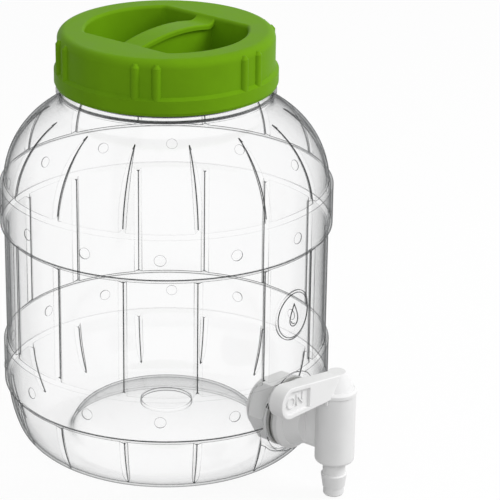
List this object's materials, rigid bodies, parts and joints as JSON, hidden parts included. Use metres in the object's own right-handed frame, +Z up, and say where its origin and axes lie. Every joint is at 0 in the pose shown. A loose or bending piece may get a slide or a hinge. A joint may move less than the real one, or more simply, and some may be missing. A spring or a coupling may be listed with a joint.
{
  "type": "jar with tap",
  "caption": "Clear wide-mouth beverage jar shaped like a barrel, with a green screw lid and a white lever tap with a hose barb low on its side.",
  "frame": {"origin": "centre of the jar's foot ring, on the surface it stands on", "axes": "+Z up the jar's axis to the lid, -Y out along the tap, +X to the right of a viewer who faces the tap"},
  "size_m": [0.1764, 0.2146, 0.2306],
  "materials": {
    "jar": "clear blown PET",
    "lid": "moulded green polypropylene",
    "lid_liner": "soft foamed polyethylene",
    "tap_body": "moulded white polypropylene",
    "tap_plug": "moulded white polypropylene",
    "tap_nut": "moulded white polypropylene",
    "outer_gasket": "pale silicone",
    "inner_gasket": "pale silicone"
  },
  "bodies": {
    "jar": {"jar": "jar", "tap_body": "tap_body", "tap_nut": "tap_nut", "outer_gasket": "outer_gasket", "inner_gasket": "inner_gasket"},
    "liner": {"lid_liner": "lid_liner"},
    "lid": {"lid": "lid"},
    "plug": {"tap_plug": "tap_plug"}
  },
  "joints": [
    {"name": "lid_rise", "type": "slide", "parent": "jar", "child": "liner", "axis": [0, 0, 1], "range_m": [0, 0.0301]},
    {"name": "lid_turn", "type": "hinge", "parent": "liner", "child": "lid", "pos_m": [0, 0, 0.2], "axis": [0, 0, 1], "range_deg": [0, 1800]},
    {"name": "tap_lever", "type": "hinge", "parent": "jar", "child": "plug", "pos_m": [0, -0.1148, 0.04], "axis": [0, 0, 1], "range_deg": [0, 180]}
  ],
  "couplings": [
    {"joint": "lid_rise", "follows": "lid_turn", "m_per_rad": 0.00095493}
  ]
}
